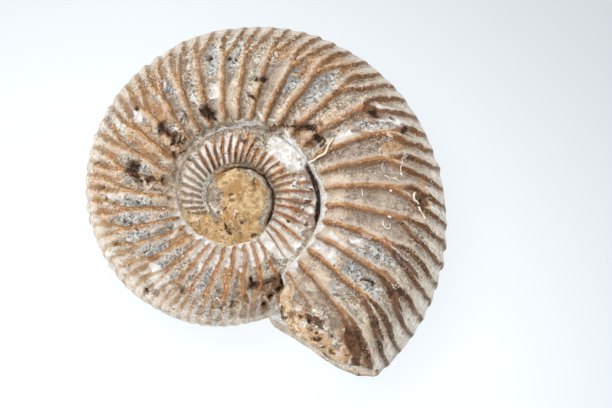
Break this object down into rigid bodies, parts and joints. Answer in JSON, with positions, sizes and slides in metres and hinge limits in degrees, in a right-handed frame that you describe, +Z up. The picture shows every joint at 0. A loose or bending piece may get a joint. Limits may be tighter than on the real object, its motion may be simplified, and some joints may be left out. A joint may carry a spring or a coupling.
{
  "type": "ribbed ammonite fossil",
  "caption": "Flat-coiled ribbed ammonite fossil in brown and grey limestone, broken at the aperture, lying on its side; a display or study specimen.",
  "frame": {"origin": "middle of the footprint, at the level of the surface that the fossil lies on", "axes": "+Z up, across the coil's thickness; the coil lies nearly flat in X and Y, and winds counterclockwise inwards from an aperture that faces -X at the -Y side"},
  "size_m": [0.0434, 0.0422, 0.0164],
  "materials": {
    "fossil_limestone": "dull, ribbed and pitted"
  },
  "bodies": {
    "root": {"ammonite": "fossil_limestone"}
  },
  "joints": []
}
